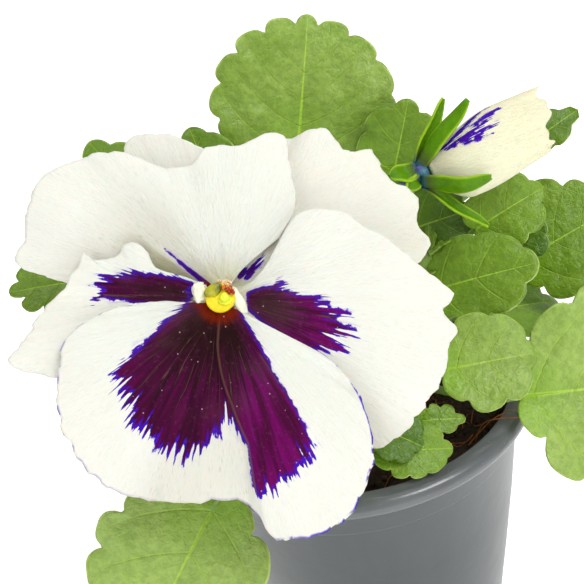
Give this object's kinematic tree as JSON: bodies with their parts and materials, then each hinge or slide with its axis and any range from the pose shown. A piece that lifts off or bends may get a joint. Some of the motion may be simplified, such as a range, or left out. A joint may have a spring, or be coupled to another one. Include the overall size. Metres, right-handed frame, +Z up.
{
  "type": "potted pansy planter",
  "caption": "Small round plastic nursery pot holding a pansy: scalloped leaves on soft stems, a large white and violet bloom and a half-furled bloom.",
  "frame": {"origin": "centre of the pot's flat base, on the surface that it stands on", "axes": "+Z up along the pot's axis; the open bloom faces -Y and up; the half-furled bloom points along +X"},
  "size_m": [0.1404, 0.1351, 0.1691],
  "materials": {
    "pot_plastic": "satin",
    "peat": "matte",
    "leaf": "satin",
    "stalk": "satin",
    "petal": "matte",
    "furled_petal": "matte",
    "flower_middle": "satin"
  },
  "bodies": {
    "root": {"pot": "pot_plastic", "potting_soil": "peat", "leafy_stem_front_right": "leaf", "leafy_stem_right": "leaf", "leafy_stem_back_right": "leaf", "leafy_stem_back": "leaf", "leafy_stem_back_left": "leaf", "leafy_stem_left": "leaf", "leafy_stem_front_left": "leaf", "open_bloom_stalk": "stalk", "upper_right_petal": "petal", "upper_left_petal": "petal", "left_petal": "petal", "right_petal": "petal", "lower_petal": "petal", "flower_middle": "flower_middle", "furled_bloom_stalk": "stalk", "furled_petals": "furled_petal"}
  },
  "joints": []
}
